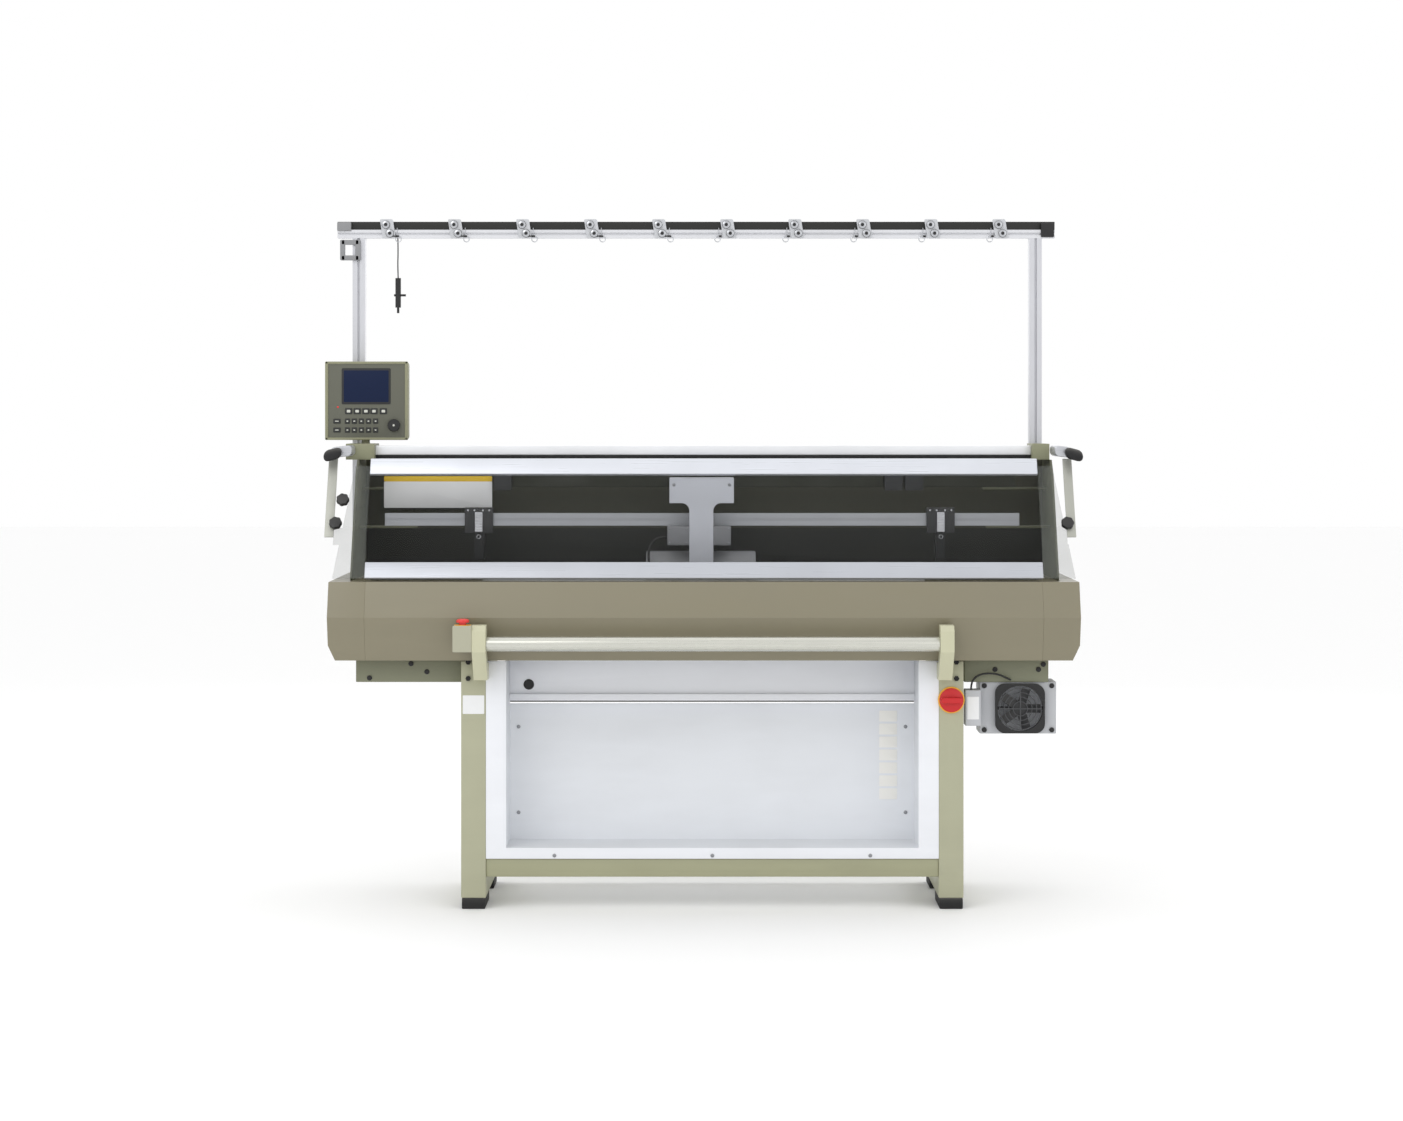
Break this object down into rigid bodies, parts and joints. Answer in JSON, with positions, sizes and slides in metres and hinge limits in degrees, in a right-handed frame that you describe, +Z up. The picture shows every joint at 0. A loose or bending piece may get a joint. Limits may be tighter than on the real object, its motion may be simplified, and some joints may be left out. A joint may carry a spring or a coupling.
{
  "type": "flat knitting machine",
  "caption": "Floor-standing flat knitting machine with a covered bed, lifting hood, sliding carriage, yarn stand and swivelling control panel.",
  "frame": {"origin": "on the floor, below the middle of the machine's box", "axes": "+X along the bed to the right, +Y to the rear, +Z up; the front faces -Y"},
  "size_m": [2.384, 0.685, 2.144],
  "materials": {
    "olive_paint": "satin",
    "taupe_paint": "satin",
    "dark_olive_paint": "satin",
    "white_paint": "satin",
    "anodised": "satin",
    "dark_rail": "matt",
    "cast": "machined",
    "steel": "brushed",
    "carriage_paint": "satin",
    "black_rubber": "matt",
    "black_plastic": "matt",
    "clear_sheet": "clear",
    "grey_box": "satin",
    "panel_plastic": "fine grain",
    "box_plastic": "fine grain",
    "yellow_plastic": "satin",
    "red_plastic": "gloss"
  },
  "bodies": {
    "frame": {"back_panel": "dark_olive_paint", "bar_brackets": "olive_paint", "bed_beam": "cast", "box_cables": "black_rubber", "brake_box": "grey_box", "carriage_guides": "steel", "crossbars": "olive_paint", "drive_belt": "black_rubber", "drive_motor": "black_plastic", "end_caps": "taupe_paint", "end_plates": "dark_olive_paint", "estop_box": "box_plastic", "fan_box": "grey_box", "fan_frame": "black_plastic", "feet": "black_rubber", "front_cover": "taupe_paint", "idler_block": "steel", "leg_frames": "olive_paint", "needle_beds": "steel", "panel_screws": "steel", "rail_brackets": "dark_olive_paint", "rear_carriers": "dark_rail", "rear_cover": "taupe_paint", "recess_panel": "white_paint", "stand_beam": "anodised", "stand_posts": "anodised", "stand_rail": "dark_rail", "stay_brackets": "dark_olive_paint", "stay_tube": "anodised", "switch_plate": "yellow_plastic", "tension_units": "steel", "threading_tool": "black_plastic", "tool_cord": "black_rubber", "trim_panel": "white_paint", "under_boxes": "dark_olive_paint", "yarn_rails": "anodised"},
    "hood": {"hood_bottom_rail": "anodised", "hood_top_rail": "anodised", "hood_window": "clear_sheet", "end_shields": "clear_sheet", "hood_arms": "anodised", "hood_levers": "anodised", "hood_grips": "black_rubber", "hood_knobs": "black_plastic"},
    "carriage": {"cam_plates": "cast", "carriage_bridge": "carriage_paint", "carriage_boxes": "carriage_paint", "carriage_cable": "black_rubber"},
    "left_carrier": {"yarn_carrier_left": "dark_rail"},
    "right_carrier": {"yarn_carrier_right": "dark_rail"},
    "drive_wheel": {"drive_pulley": "steel"},
    "idler_wheel": {"idler_pulley": "steel"},
    "bar": {"operating_bar": "anodised"},
    "stop_button": {"estop_button": "red_plastic"},
    "main_switch": {"switch_knob": "red_plastic"},
    "fan": {"fan_rotor": "black_plastic"},
    "panel": {"panel_housing": "panel_plastic"},
    "dial": {"panel_dial": "black_plastic"},
    "flap": {"chute_flap": "white_paint"},
    "roller": {"take_down_roller": "anodised"}
  },
  "joints": [
    {"name": "hood_lift", "type": "hinge", "parent": "frame", "child": "hood", "pos_m": [0, 0.075, 1.399], "axis": [-1, 0, 0], "range_deg": [0, 75]},
    {"name": "carriage_travel", "type": "slide", "parent": "frame", "child": "carriage", "axis": [1, 0, 0], "range_m": [-0.8, 0.8]},
    {"name": "left_carrier_travel", "type": "slide", "parent": "frame", "child": "left_carrier", "axis": [1, 0, 0], "range_m": [-0.24, 0.65]},
    {"name": "right_carrier_travel", "type": "slide", "parent": "frame", "child": "right_carrier", "axis": [1, 0, 0], "range_m": [-0.65, 0.19]},
    {"name": "drive_wheel_spin", "type": "hinge", "parent": "frame", "child": "drive_wheel", "pos_m": [-1.052, 0.2135, 0.96], "axis": [0, 1, 0], "continuous": true},
    {"name": "idler_wheel_spin", "type": "hinge", "parent": "frame", "child": "idler_wheel", "pos_m": [1.052, 0.2135, 0.96], "axis": [0, 1, 0], "continuous": true},
    {"name": "bar_turn", "type": "hinge", "parent": "frame", "child": "bar", "pos_m": [0, -0.325, 0.821], "axis": [1, 0, 0], "range_deg": [-12, 12], "stiffness_Nm_per_rad": 2},
    {"name": "stop_press", "type": "slide", "parent": "frame", "child": "stop_button", "axis": [0, 0, -1], "range_m": [0, 0.006], "stiffness_N_per_m": 3000},
    {"name": "switch_turn", "type": "hinge", "parent": "frame", "child": "main_switch", "pos_m": [0.758, -0.22, 0.641], "axis": [0, -1, 0], "range_deg": [0, 90]},
    {"name": "fan_spin", "type": "hinge", "parent": "frame", "child": "fan", "pos_m": [0.974, -0.16, 0.61], "axis": [0, 1, 0], "continuous": true},
    {"name": "panel_swivel", "type": "hinge", "parent": "frame", "child": "panel", "pos_m": [-1.078, 0.1675, 1.43], "axis": [0, 0, 1], "range_deg": [-25, 25]},
    {"name": "dial_turn", "type": "hinge", "parent": "panel", "child": "dial", "pos_m": [-0.985, 0.133, 1.481], "axis": [0, -1, 0], "continuous": true},
    {"name": "flap_open", "type": "hinge", "parent": "frame", "child": "flap", "pos_m": [0, -0.0385, 0.748], "axis": [-1, 0, 0], "range_deg": [0, 60]},
    {"name": "roller_spin", "type": "hinge", "parent": "frame", "child": "roller", "pos_m": [0, 0.035, 0.708], "axis": [1, 0, 0], "continuous": true}
  ],
  "couplings": [
    {"joint": "drive_wheel_spin", "follows": "carriage_travel", "rad_per_m": 40},
    {"joint": "idler_wheel_spin", "follows": "carriage_travel", "rad_per_m": 40}
  ]
}
